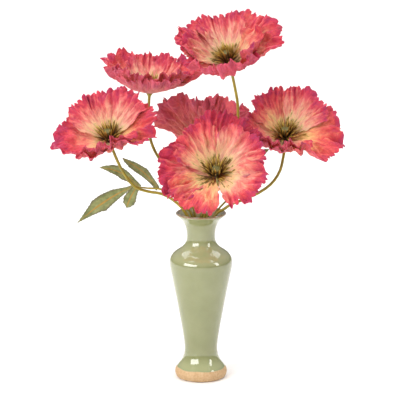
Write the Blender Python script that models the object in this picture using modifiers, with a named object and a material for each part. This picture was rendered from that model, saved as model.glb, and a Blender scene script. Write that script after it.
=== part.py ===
"""Six poppies and two cut leaves standing in a slim glazed bottle vase.

Every stem, petal, stamen crown, seed pod and leaf is its own solid. The origin is the centre of
the vase's flat foot, +Z is up and -Y is the front. Lengths are in metres, angles in degrees.
"""

import math

import bmesh
import bpy
from mathutils import Matrix, Vector

# The vase: height and outer radius from the foot to the lip, then its wall and floor.
VASE_OUTLINE = (
    (0.0000, 0.0245),
    (0.0020, 0.0276),
    (0.0065, 0.0289),
    (0.0130, 0.0263),
    (0.0215, 0.0207),
    (0.0320, 0.0184),
    (0.0500, 0.0203),
    (0.0810, 0.0258),
    (0.1120, 0.0318),
    (0.1290, 0.0347),
    (0.1370, 0.0344),
    (0.1430, 0.0295),
    (0.1490, 0.0212),
    (0.1550, 0.0169),
    (0.1620, 0.0158),
    (0.1710, 0.0170),
    (0.1790, 0.0205),
    (0.1850, 0.0262),
    (0.1872, 0.0279),
)
VASE_HEIGHT = 0.188
VASE_WALL = 0.0030
VASE_FLOOR = 0.008
VASE_SIDES = 32

# The stems stand in a ring inside the vase, so its middle stays free.
STEM_RADIUS = 0.0016
STEM_FOOT = (0.0115, VASE_FLOOR + 0.0006)
STEM_BELLY = (0.0120, 0.080)
STEM_NECK = (0.0086, 0.161)
RECEPTACLE = ((-0.0100, 1.0), (-0.0030, 2.1), (-0.0008, 2.0), (0.0008, 1.9))

# Every bloom is built alike round its own axis.
CLAW_RADIUS = 0.0045
PETAL_THICKNESS = 0.0007
WHORL_GAP = 0.0014
WHORL_SPREAD = 0.0016
PETAL_REACH = 0.066
PETAL_COLUMNS = 8
PETAL_ROWS = 5
POD_OUTLINE = (
    (0.0012, 0.0020),
    (0.0050, 0.0036),
    (0.0090, 0.0042),
    (0.0120, 0.0036),
    (0.0126, 0.0046),
    (0.0138, 0.0044),
)
CROWN_SPIKES = 12
CROWN_OUTLINE = ((0.0016, 0.0034), (0.0110, 0.0085), (0.0180, 0.0148))
CROWN_WALL = 0.0006

LEAF_THICKNESS = 0.0007
LEAF_WIRE_RADIUS = 0.0011
LEAF_NOTCH = 0.0035
LEAF_WING = 0.0018
LOBE_SHAPE = ((0.30, 0.80), (0.48, 1.0), (0.70, 0.84), (0.88, 0.42))

# Colours, linear RGB.
GLAZE = (0.42, 0.43, 0.24)
PETAL_INSIDE = (0.80, 0.16, 0.16)
PETAL_OUTSIDE = (0.55, 0.09, 0.15)
STEM_GREEN = (0.30, 0.24, 0.02)
LEAF_GREEN = (0.22, 0.24, 0.10)
STAMEN_BROWN = (0.10, 0.08, 0.02)
POD_GREEN = (0.20, 0.20, 0.07)

# Each bloom: where its petals join the stem, the way it faces, the angle of its stem in the ring
# and the stem's route from the vase's mouth upwards. Its cup is (direction, slope at the claws,
# slope at the margin), and its petals are (direction, half spread, length, lean in from the cup).
# A direction is an angle round the bloom: 0 is its right, 90 its back and 270 its front.
BLOOMS = {
    "front": {
        "base": (0.0162, -0.0450, 0.2412),
        "facing": (0.000, -0.695, 0.719),
        "ring": 285,
        "route": (
            (0.0055, -0.0080, 0.1951),
            (0.0109, -0.0160, 0.2084),
        ),
        "cup": (
            (128, 40, 18),
            (85, 40, 16),
            (42, 42, 18),
            (0, 36, 8),
            (322, 30, -2),
            (285, 30, 0),
            (243, 30, -6),
            (186, 30, -4),
        ),
        "inner": (
            (128, 46, 0.058, 18),
            (38, 38, 0.060, 16),
            (236, 42, 0.062, 4),
            (322, 32, 0.062, 14),
        ),
        "outer": (
            (80, 50, 0.067, -5),
            (188, 52, 0.064, -2),
        ),
    },
    "left": {
        "base": (-0.0990, -0.0250, 0.2755),
        "facing": (-0.185, -0.444, 0.877),
        "ring": 240,
        "route": (
            (-0.0165, -0.0055, 0.1877),
            (-0.0231, -0.0070, 0.1972),
            (-0.0340, -0.0090, 0.2067),
            (-0.0449, -0.0120, 0.2125),
            (-0.0580, -0.0150, 0.2155),
            (-0.0699, -0.0180, 0.2202),
            (-0.0774, -0.0200, 0.2274),
            (-0.0849, -0.0220, 0.2391),
            (-0.0913, -0.0240, 0.2530),
        ),
        "cup": (
            (128, 44, 24),
            (84, 44, 20),
            (44, 44, 22),
            (0, 38, 16),
            (330, 26, 14),
            (288, 14, 88),
            (248, 0, 72),
            (206, 20, 26),
            (165, 36, 26),
        ),
        "inner": (
            (126, 46, 0.054, 9),
            (46, 32, 0.056, 7),
            (280, 52, 0.056, 8),
        ),
        "outer": (
            (84, 54, 0.061, 0),
            (208, 58, 0.058, 0),
            (334, 52, 0.060, 2),
        ),
    },
    "top": {
        "base": (0.0300, 0.0050, 0.3560),
        "facing": (-0.270, -0.430, 0.861),
        "ring": 60,
        "route": (
            (0.0095, 0.0075, 0.1890),
            (0.0187, 0.0090, 0.2170),
            (0.0297, 0.0120, 0.2446),
            (0.0384, 0.0120, 0.2728),
            (0.0405, 0.0110, 0.2954),
            (0.0399, 0.0100, 0.3102),
            (0.0371, 0.0080, 0.3262),
        ),
        "cup": (
            (88, 46, 22),
            (50, 40, 15),
            (8, 30, 10),
            (332, 6, 52),
            (300, 0, 94),
            (262, -8, 108),
            (222, 10, 94),
            (185, 42, 46),
            (140, 49, 32),
        ),
        "inner": (
            (90, 42, 0.056, 9),
            (170, 34, 0.057, 6),
            (346, 34, 0.054, 34),
        ),
        "outer": (
            (38, 48, 0.064, -3),
            (146, 48, 0.062, 0),
            (264, 66, 0.057, 0),
        ),
    },
    "upper_left": {
        "base": (-0.0572, 0.0600, 0.3121),
        "facing": (0.051, 0.000, 0.998),
        "ring": 150,
        "route": (
            (-0.0077, 0.0070, 0.1902),
            (-0.0188, 0.0140, 0.2010),
            (-0.0321, 0.0250, 0.2188),
            (-0.0432, 0.0340, 0.2360),
            (-0.0522, 0.0410, 0.2503),
            (-0.0572, 0.0470, 0.2649),
            (-0.0591, 0.0520, 0.2809),
        ),
        "cup": (
            (92, 32, 54),
            (40, 24, 52),
            (355, 18, 54),
            (320, 14, 62),
            (268, 8, 72),
            (215, 12, 72),
            (170, 16, 66),
            (135, 26, 58),
        ),
        "inner": (
            (88, 58, 0.055, 4),
            (222, 52, 0.052, 10),
            (318, 40, 0.051, 10),
        ),
        "outer": (
            (34, 54, 0.061, -3),
            (152, 60, 0.061, 0),
            (268, 52, 0.051, -4),
        ),
    },
    "back": {
        "base": (0.0023, 0.0620, 0.2490),
        "facing": (0.000, 0.559, 0.829),
        "ring": 105,
        "route": (
            (0.0025, 0.0110, 0.1890),
            (0.0045, 0.0200, 0.2000),
            (0.0050, 0.0330, 0.2169),
        ),
        "cup": (
            (268, 48, 40),
            (318, 44, 34),
            (30, 44, 30),
            (90, 42, 28),
            (150, 44, 30),
            (216, 46, 44),
        ),
        "inner": (
            (268, 57, 0.057, 6),
            (28, 57, 0.061, 6),
            (150, 57, 0.061, 6),
        ),
        "outer": (
            (216, 48, 0.067, -2),
            (318, 50, 0.065, -2),
            (90, 66, 0.062, 0),
        ),
    },
    "right": {
        "base": (0.0920, -0.0050, 0.2735),
        "facing": (-0.038, -0.485, 0.874),
        "ring": 330,
        "route": (
            (0.0158, -0.0032, 0.1855),
            (0.0253, -0.0030, 0.1927),
            (0.0341, -0.0040, 0.1987),
            (0.0483, -0.0060, 0.2048),
            (0.0647, -0.0080, 0.2132),
            (0.0777, -0.0100, 0.2239),
            (0.0863, -0.0090, 0.2374),
            (0.0900, -0.0060, 0.2525),
        ),
        "cup": (
            (84, 46, 26),
            (122, 48, 30),
            (46, 46, 24),
            (5, 36, 8),
            (338, 22, -8),
            (314, 16, -6),
            (286, 8, 76),
            (268, 2, 106),
            (238, 4, 96),
            (195, 26, 52),
            (160, 44, 34),
        ),
        "inner": (
            (124, 44, 0.053, 7),
            (46, 30, 0.058, 6),
            (272, 44, 0.048, 12),
        ),
        "outer": (
            (84, 50, 0.057, 0),
            (222, 42, 0.044, 6),
            (332, 58, 0.066, 0),
        ),
    },
}

# Each leaf: the origin and directions of its flat blade, its wire's ring angle and route, and its
# lobes in the blade's own plane as (root, tip, half width), walked round from the stalk.
LEAVES = {
    "left": {
        "origin": (-0.0450, -0.0020, 0.2151),
        "across": (1.0, 0.0, 0.0),
        "facing": (0.0, -0.970, 0.242),
        "ring": 195,
        "route": ((-0.0105, -0.0015, 0.1862), (-0.0198, -0.0010, 0.1956), (-0.0319, -0.0020, 0.2092)),
        "midrib": ((0.0, 0.0), (-0.0253, 0.0022), (-0.0520, -0.0100)),
        "lobes": (
            ((-0.0225, 0.0005), (-0.0350, -0.0220), 0.0056),
            ((-0.0305, 0.0022), (-0.0905, -0.0385), 0.0084),
            ((-0.0225, 0.0030), (-0.0668, 0.0235), 0.0068),
            ((-0.0035, 0.0012), (-0.0415, 0.0335), 0.0066),
        ),
    },
    "right": {
        "origin": (0.0320, 0.0100, 0.2031),
        "across": (0.94, 0.28, 0.19),
        "facing": (0.20, -0.94, 0.27),
        "ring": 15,
        "route": ((0.0150, 0.0025, 0.1846), (0.0235, 0.0065, 0.1950)),
        "midrib": ((0.0, 0.0), (0.0090, 0.0200), (0.0080, 0.0500)),
        "lobes": (
            ((0.0070, 0.0190), (-0.0250, 0.0360), 0.0066),
            ((0.0095, 0.0250), (0.0020, 0.0960), 0.0080),
            ((0.0110, 0.0230), (0.0340, 0.0810), 0.0058),
            ((0.0085, 0.0170), (0.0560, 0.0400), 0.0066),
        ),
    },
}


def clear_scene():
    for obj in list(bpy.data.objects):
        bpy.data.objects.remove(obj, do_unlink=True)


def material(name, colour, roughness):
    """A plain Principled material."""
    made = bpy.data.materials.new(name)
    made.use_nodes = True
    shader = made.node_tree.nodes["Principled BSDF"]
    shader.inputs["Base Color"].default_value = (*colour, 1.0)
    shader.inputs["Roughness"].default_value = roughness
    shader.inputs["Metallic"].default_value = 0.0
    return made


def add_object(name, data, finish, collection, matrix=None):
    obj = bpy.data.objects.new(name, data)
    data.materials.append(finish)
    collection.objects.link(obj)
    if matrix is not None:
        obj.matrix_world = matrix
    return obj


def smooth_line(points, steps):
    """Points along a Catmull-Rom curve through the given points, with this many steps a span."""
    knots = [Vector(p) for p in points]
    knots = [2 * knots[0] - knots[1], *knots, 2 * knots[-1] - knots[-2]]
    line = []
    for a, b, c, d in zip(knots, knots[1:], knots[2:], knots[3:]):
        for step in range(steps):
            t = step / steps
            line.append(
                0.5
                * (
                    2 * b
                    + (c - a) * t
                    + (2 * a - 5 * b + 4 * c - d) * t**2
                    + (3 * b - 3 * c + d - a) * t**3
                )
            )
    line.append(knots[-2])
    return line


def turned(name, profile, sides, finish, collection, matrix=None):
    """A solid of revolution. The profile, (radius, height), starts and ends on the axis."""
    mesh = bpy.data.meshes.new(name)
    corners = [(radius, 0.0, height) for radius, height in profile]
    mesh.from_pydata(corners, [(i, i + 1) for i in range(len(corners) - 1)], [])
    obj = add_object(name, mesh, finish, collection, matrix)
    screw = obj.modifiers.new("Turn", "SCREW")
    screw.steps = screw.render_steps = sides
    screw.use_merge_vertices = True
    screw.merge_threshold = 0.00005
    screw.use_smooth_shade = True
    return obj


def wall_radius(height):
    """The vase's outer radius at a height, on straight runs between the outline's points."""
    for (low, near), (high, far) in zip(VASE_OUTLINE, VASE_OUTLINE[1:]):
        if height <= high:
            return near + (far - near) * (height - low) / (high - low)
    return VASE_OUTLINE[-1][1]


def vase(finish, collection):
    """The bottle vase: a thin wall that is open at the lip, over a flat foot."""
    outside = [(radius, height) for height, radius in VASE_OUTLINE]
    inside_heights = [h for h, _ in VASE_OUTLINE if h > VASE_FLOOR + 0.004]
    inside = [(wall_radius(VASE_FLOOR) - 2.2 * VASE_WALL, VASE_FLOOR)]
    inside += [(wall_radius(h) - VASE_WALL, h) for h in inside_heights]
    lip_radius = VASE_OUTLINE[-1][1]
    lip = [(lip_radius - share * VASE_WALL, VASE_HEIGHT) for share in (0.75, 0.25)]
    profile = [(0.0, VASE_FLOOR), *inside, *lip, *reversed(outside), (0.0, 0.0)]
    return turned("vase", profile, VASE_SIDES, finish, collection)


def bloom_frame(bloom):
    """The bloom's own axes: Z the way it faces, X its right, with its origin where petals join."""
    z = Vector(bloom["facing"]).normalized()
    x = Vector((1.0, 0.0, 0.0))
    x = (x - x.dot(z) * z).normalized()
    y = z.cross(x)
    frame = Matrix((x, y, z)).transposed().to_4x4()
    frame.translation = Vector(bloom["base"])
    return frame


def ring_point(angle, place):
    radius, height = place
    turn = math.radians(angle)
    return Vector((radius * math.cos(turn), radius * math.sin(turn), height))


def tube(name, points, radii, finish, collection):
    """A round wire through the points, its thickness scaled at each."""
    curve = bpy.data.curves.new(name, "CURVE")
    curve.dimensions = "3D"
    curve.bevel_depth = 1.0
    curve.bevel_resolution = 1
    curve.use_fill_caps = True
    spline = curve.splines.new("POLY")
    spline.points.add(len(points) - 1)
    for knot, point, radius in zip(spline.points, points, radii):
        knot.co = (*point, 1.0)
        knot.radius = radius
    return add_object(name, curve, finish, collection)


def stem(name, bloom, finish, collection):
    """A stem from the vase's floor, up its neck and out to the bloom, ending in the receptacle."""
    frame = bloom_frame(bloom)
    ring = [ring_point(bloom["ring"], place) for place in (STEM_FOOT, STEM_BELLY, STEM_NECK)]
    neck_end = frame @ Vector((0.0, 0.0, RECEPTACLE[0][0]))
    line = smooth_line([*ring, *bloom["route"], neck_end], 2)
    radii = [STEM_RADIUS] * len(line)
    for height, swell in RECEPTACLE[1:]:
        line.append(frame @ Vector((0.0, 0.0, height)))
        radii.append(STEM_RADIUS * swell)
    return tube(name, line, radii, finish, collection)


def rise(cup, azimuth):
    """The cup's slope at claw and margin in this direction, blended between its own entries."""
    weights = [math.exp(8.0 * (math.cos(azimuth - math.radians(c[0])) - 1.0)) for c in cup]
    claw = sum(w * c[1] for w, c in zip(weights, cup)) / sum(weights)
    tip = sum(w * c[2] for w, c in zip(weights, cup)) / sum(weights)
    return math.radians(claw), math.radians(tip)


def cup_point(cup, lean, azimuth, run, depth):
    """A point on the cup that a bloom's petals share: an arc from the claw, lowered by depth."""
    claw, tip = rise(cup, azimuth)
    bend = (tip + math.radians(lean) - claw) / PETAL_REACH
    if abs(bend) < 0.01:
        bend = 0.01
    slope = claw + bend * run
    radius = CLAW_RADIUS + (math.sin(slope) - math.sin(claw)) / bend + depth * math.sin(slope)
    height = (math.cos(claw) - math.cos(slope)) / bend - depth * math.cos(slope)
    return Vector((radius * math.cos(azimuth), radius * math.sin(azimuth), height))


def petal(name, petal_spec, cup, lowered, frame, finish, collection):
    """A fan-shaped petal on the bloom's cup, narrow at the claw and rounded at the margin."""
    direction, half_spread, length, lean = petal_spec
    shape = bmesh.new()
    bmesh.ops.create_grid(shape, x_segments=PETAL_COLUMNS, y_segments=PETAL_ROWS, size=1.0)
    for vertex in shape.verts:
        side, along = vertex.co.x, (vertex.co.y + 1.0) / 2.0
        run = length * along * (1.0 - 0.38 * abs(side) ** 3.5)
        widening = min(1.0, 0.72 + 0.9 * along)
        azimuth = math.radians(direction + side * half_spread * widening)
        depth = lowered * (WHORL_GAP + WHORL_SPREAD * run / PETAL_REACH)
        vertex.co = cup_point(cup, lean, azimuth, run, depth)
    bmesh.ops.recalc_face_normals(shape, faces=shape.faces)
    mesh = bpy.data.meshes.new(name)
    shape.to_mesh(mesh)
    shape.free()
    mesh.shade_smooth()
    obj = add_object(name, mesh, finish, collection, frame)
    solidify = obj.modifiers.new("Thickness", "SOLIDIFY")
    solidify.thickness = PETAL_THICKNESS
    solidify.offset = 0.0
    return obj


def pod(name, frame, finish, collection):
    """The seed pod, with its flat ribbed cap, on the receptacle."""
    profile = [(radius, height) for height, radius in reversed(POD_OUTLINE)]
    profile = [(0.0, POD_OUTLINE[-1][0]), *profile, (0.0, POD_OUTLINE[0][0])]
    return turned(name, profile, 10, finish, collection, frame)


def stamens(name, frame, finish, collection):
    """The ring of stamens round the pod, as one crown with pointed tips."""
    (foot, foot_radius), (valley, valley_radius), (tip, tip_radius) = CROWN_OUTLINE
    shape = bmesh.new()
    count = 2 * CROWN_SPIKES
    bmesh.ops.create_grid(shape, x_segments=count, y_segments=1, size=1.0)
    for vertex in shape.verts:
        step = round((vertex.co.x + 1.0) / 2.0 * count)
        turn = 2.0 * math.pi * step / count
        if vertex.co.y < 0.0:
            radius, height = foot_radius, foot
        elif step % 2:
            radius, height = tip_radius, tip
        else:
            radius, height = valley_radius, valley
        vertex.co = (radius * math.cos(turn), radius * math.sin(turn), height)
    bmesh.ops.remove_doubles(shape, verts=shape.verts, dist=0.00005)
    bmesh.ops.recalc_face_normals(shape, faces=shape.faces)
    mesh = bpy.data.meshes.new(name)
    shape.to_mesh(mesh)
    shape.free()
    obj = add_object(name, mesh, finish, collection, frame)
    solidify = obj.modifiers.new("Thickness", "SOLIDIFY")
    solidify.thickness = CROWN_WALL
    solidify.offset = 0.0
    return obj


def leaf_frame(leaf):
    """The blade's own axes: X across it, Y up it and Z out of its face."""
    z = Vector(leaf["facing"]).normalized()
    x = Vector(leaf["across"])
    x = (x - x.dot(z) * z).normalized()
    y = z.cross(x)
    frame = Matrix((x, y, z)).transposed().to_4x4()
    frame.translation = Vector(leaf["origin"])
    return frame


def lobe_sides(root, tip, half_width):
    """A pointed lobe's left and right edges, each from near its root to near its tip."""
    along = tip - root
    across = Vector((-along.y, along.x)).normalized()
    left = [root + along * share + across * half_width * width for share, width in LOBE_SHAPE]
    right = [root + along * share - across * half_width * width for share, width in LOBE_SHAPE]
    return left, right


def leaf_outline(lobes):
    """The walk round a cut blade: out and back along each lobe, dipping to a notch between two."""
    stalk = Vector((0.0, 0.0))
    lobes = [(Vector(root), Vector(tip), half_width) for root, tip, half_width in lobes]
    outline = []
    for here, following in zip(lobes, [*lobes[1:], None]):
        left, right = lobe_sides(*here)
        outline += [*left, here[1], *reversed(right)]
        if following:
            lean = (here[1] - here[0]).normalized() + (following[1] - following[0]).normalized()
            outline.append((here[0] + following[0]) / 2 + lean.normalized() * LEAF_NOTCH)
    first, last = lobes[0][1] - lobes[0][0], lobes[-1][1] - lobes[-1][0]
    entry = stalk + first.normalized() * LEAF_WING
    leave = stalk + last.normalized() * LEAF_WING
    return [entry, *outline, leave]


def leaf_blade(name, leaf, finish, collection):
    """A deeply cut leaf blade: lobes joined by a narrow wing along the midrib."""
    outline = leaf_outline(leaf["lobes"])
    curve = bpy.data.curves.new(name, "CURVE")
    curve.dimensions = "2D"
    curve.fill_mode = "BOTH"
    curve.extrude = LEAF_THICKNESS / 2
    spline = curve.splines.new("POLY")
    spline.points.add(len(outline) - 1)
    for knot, point in zip(spline.points, outline):
        knot.co = (point.x, point.y, 0.0, 1.0)
    spline.use_cyclic_u = True
    return add_object(name, curve, finish, collection, leaf_frame(leaf))


def leaf_wire(name, leaf, finish, collection):
    """The leaf's stalk, from the vase's floor to under its blade's midrib."""
    frame = leaf_frame(leaf)
    under = -(LEAF_THICKNESS / 2 + 0.0004 + LEAF_WIRE_RADIUS)
    ring = [ring_point(leaf["ring"], place) for place in (STEM_FOOT, STEM_BELLY, STEM_NECK)]
    midrib = [frame @ Vector((x, y, under)) for x, y in leaf["midrib"]]
    line = smooth_line([*ring, *leaf["route"], *midrib], 2)
    return tube(name, line, [LEAF_WIRE_RADIUS] * len(line), finish, collection)


def build():
    clear_scene()
    collection = bpy.data.collections.new("poppies_in_a_vase")
    bpy.context.scene.collection.children.link(collection)
    glaze = material("glaze", GLAZE, 0.15)
    inside = material("petal_inside", PETAL_INSIDE, 0.7)
    outside = material("petal_outside", PETAL_OUTSIDE, 0.75)
    stem_green = material("stem_green", STEM_GREEN, 0.5)
    leaf_green = material("leaf_green", LEAF_GREEN, 0.7)
    brown = material("stamen_brown", STAMEN_BROWN, 0.7)
    pod_green = material("pod_green", POD_GREEN, 0.6)

    vase(glaze, collection)
    for side, bloom in BLOOMS.items():
        frame = bloom_frame(bloom)
        stem(f"{side}_stem", bloom, stem_green, collection)
        pod(f"{side}_pod", frame, pod_green, collection)
        stamens(f"{side}_stamens", frame, brown, collection)
        for whorl, lowered, finish in (("inner", 0, inside), ("outer", 1, outside)):
            for number, spec in enumerate(bloom[whorl], 1):
                name = f"{side}_{whorl}_petal_{number}"
                petal(name, spec, bloom["cup"], lowered, frame, finish, collection)
    for side, leaf in LEAVES.items():
        leaf_blade(f"{side}_leaf_blade", leaf, leaf_green, collection)
        leaf_wire(f"{side}_leaf_stalk", leaf, stem_green, collection)


build()
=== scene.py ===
import math

import bpy
import numpy as np
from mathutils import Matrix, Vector


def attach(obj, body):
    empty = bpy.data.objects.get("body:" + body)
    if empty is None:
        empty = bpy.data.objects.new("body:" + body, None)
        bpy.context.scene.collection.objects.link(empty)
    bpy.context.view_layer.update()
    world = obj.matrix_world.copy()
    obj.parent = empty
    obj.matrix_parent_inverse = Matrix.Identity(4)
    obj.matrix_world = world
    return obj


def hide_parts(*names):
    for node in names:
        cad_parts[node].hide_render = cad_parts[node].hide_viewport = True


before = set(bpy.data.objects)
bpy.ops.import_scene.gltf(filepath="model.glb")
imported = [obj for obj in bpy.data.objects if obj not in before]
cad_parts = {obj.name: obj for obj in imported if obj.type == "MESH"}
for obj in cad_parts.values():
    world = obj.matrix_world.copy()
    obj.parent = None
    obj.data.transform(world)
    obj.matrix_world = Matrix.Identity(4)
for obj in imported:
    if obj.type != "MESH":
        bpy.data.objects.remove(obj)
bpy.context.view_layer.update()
mm = 0.001  # shapes below are in millimetres, the scene is in metres


def linearColour(hexText):
    parts = [int(hexText[i : i + 2], 16) / 255 for i in (1, 3, 5)]
    return [p / 12.92 if p <= 0.04045 else ((p + 0.055) / 1.055) ** 2.4 for p in parts] + [1.0]


def newMaterial(name):
    made = bpy.data.materials.new(name)
    made.use_nodes = True
    made.node_tree.nodes.clear()
    return made


def addNode(material, kind, inputs=None, stops=None, **settings):
    # adds one shader node: a socket takes a number, a hex colour, or another node to link from. A
    # dictionary names the sockets and a list fills them in order. Map Range's are the value, then low
    # and high as it comes, then low and high as it goes out.
    made = material.node_tree.nodes.new("ShaderNode" + kind)
    for name, value in settings.items():
        setattr(made, name, value)
    for name, value in inputs.items() if isinstance(inputs, dict) else enumerate(inputs or []):
        if isinstance(value, bpy.types.Node):
            value = value.outputs[0]
        if isinstance(value, bpy.types.NodeSocket):
            material.node_tree.links.new(value, made.inputs[name])
        elif isinstance(value, str):
            made.inputs[name].default_value = linearColour(value)
        else:
            made.inputs[name].default_value = value
    if stops:
        ramp = made.color_ramp.elements
        while len(ramp) < len(stops):
            ramp.new(0.5)
        for element, (place, colour) in zip(ramp, stops):
            element.position = place
            element.color = linearColour(colour)
    return made


def smoothLine(points, steps):
    # Catmull-Rom through the points, as an array
    p = np.array(points, float)
    p = np.vstack([2 * p[0] - p[1], p, 2 * p[-1] - p[-2]])
    t = np.arange(steps)[:, None] / steps
    spans = []
    for a, b, c, d in zip(p, p[1:], p[2:], p[3:]):
        cubic = 2 * b + (c - a) * t + (2 * a - 5 * b + 4 * c - d) * t**2 + (3 * b - 3 * c + d - a) * t**3
        spans.append(0.5 * cubic)
    return np.vstack([*spans, p[-2:-1]])


def directions(line):
    # unit vectors along a line of points
    slopes = np.gradient(line, axis=0)
    return slopes / np.linalg.norm(slopes, axis=1)[:, None]


def gridFaces(columns, rows, offset=0, closed=False):
    # quads of a grid whose points run column by column
    faces = []
    for i in range(columns if closed else columns - 1):
        a, b = offset + i * rows, offset + (i + 1) % columns * rows
        faces += [(a + j, b + j, b + j + 1, a + j + 1) for j in range(rows - 1)]
    return faces


def turnedFaces(sides, rows):
    # a closed grid with a fan at each end, to the two points that follow the grid's own
    faces = gridFaces(sides, rows, closed=True)
    low, high = sides * rows, sides * rows + 1
    for i in range(sides):
        a, b = i * rows, (i + 1) % sides * rows
        faces += [(low, b, a), (high, a + rows - 1, b + rows - 1)]
    return faces


def tubeFaces(rows, sides, start=0):
    # quads between rings of points that run ring by ring, and a flat cap at each end
    faces = []
    for i in range(rows - 1):
        for c in range(sides):
            p, q = start + i * sides + c, start + i * sides + (c + 1) % sides
            faces.append((p, q, q + sides, p + sides))
    faces.append(tuple(start + c for c in reversed(range(sides))))
    faces.append(tuple(start + (rows - 1) * sides + c for c in range(sides)))
    return faces


def addObject(name, data):
    made = bpy.data.objects.new(name, data)
    bpy.context.scene.collection.objects.link(made)
    return made


def makePiece(name, points, faces, materials, replaced, attributes=None):
    mesh = bpy.data.meshes.new(name)
    mesh.from_pydata([tuple(p) for p in points], [], faces)
    for label, values in (attributes or {}).items():
        values = np.asarray(values, np.float32)
        if values.ndim == 2:
            layer = mesh.attributes.new(label, "FLOAT_VECTOR", "POINT")
            layer.data.foreach_set("vector", values.ravel())
        else:
            layer = mesh.attributes.new(label, "FLOAT", "POINT")
            layer.data.foreach_set("value", values)
    for material in materials:
        mesh.materials.append(material)
    mesh.shade_smooth()
    piece = addObject(name, mesh)
    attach(piece, "root")
    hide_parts(*replaced)
    return piece


def addSolidify(piece, thickness, backOffset):
    solid = piece.modifiers.new("thickness", "SOLIDIFY")
    solid.thickness = thickness
    solid.offset = -1.0
    solid.use_quality_normals = True
    solid.material_offset = backOffset
    solid.material_offset_rim = 0


def smoothstep(x, low, high):
    t = np.clip((x - low) / (high - low), 0, 1)
    return t * t * (3 - 2 * t)


silkLook = {
    # streaks 3.3 mm apart and 28 mm long, fine ones 1.3 and 9 mm, and clouds of 12 to 16 mm, each as
    # its repeats per mm across and along the petal, detail, roughness and distortion
    "patterns": [
        ((0.30, 0.036), 5.0, 0.65, 0.35),
        ((0.80, 0.11), 4.0, 0.7, 0.4),
        ((0.085, 0.062), 7.0, 0.66, 0.3),
    ],
    "crinkles": (0.30, 0.16),  # repeats per mm
    "dipDepth": 14.0,  # mm of margin that the dark dip reaches
    # dye from claw to margin, the same for a petal dyed in orange, and the brush, dip and claw rays
    "face": {
        "dye": [
            (0.0, "#5C4318"), (0.08, "#94743A"), (0.14, "#EEC08C"), (0.27, "#F5B092"),
            (0.43, "#EE8E80"), (0.66, "#DE5A60"), (0.84, "#C8364C"), (1.0, "#A62442"),
        ],
        "warmDye": [
            (0.0, "#64481A"), (0.10, "#A08038"), (0.18, "#ECB474"), (0.32, "#EA9664"),
            (0.48, "#E27258"), (0.64, "#D24C4A"), (0.82, "#BA3242"), (1.0, "#982440"),
        ],
        "brush": "#B0243A",
        "dip": "#9C3664",
        "rays": "#5C2C30",
        "roughness": 0.66,
        "dark": 0.78,  # how far the fine streaks darken the dye
    },
    "back": {
        "dye": [
            (0.0, "#8A7E40"), (0.10, "#D2986E"), (0.25, "#DE8474"),
            (0.50, "#D86C6C"), (0.75, "#CE5866"), (1.0, "#BA465E"),
        ],
        "warmDye": [
            (0.0, "#8A7E40"), (0.10, "#C8885A"), (0.25, "#D2745A"),
            (0.50, "#CC5A50"), (0.75, "#C0484A"), (1.0, "#A83C4A"),
        ],
        "brush": "#BC4A5C",
        "dip": "#B04E68",
        "rays": "#7A4038",
        "roughness": 0.70,
        "dark": 0.84,
    },
}


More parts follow.
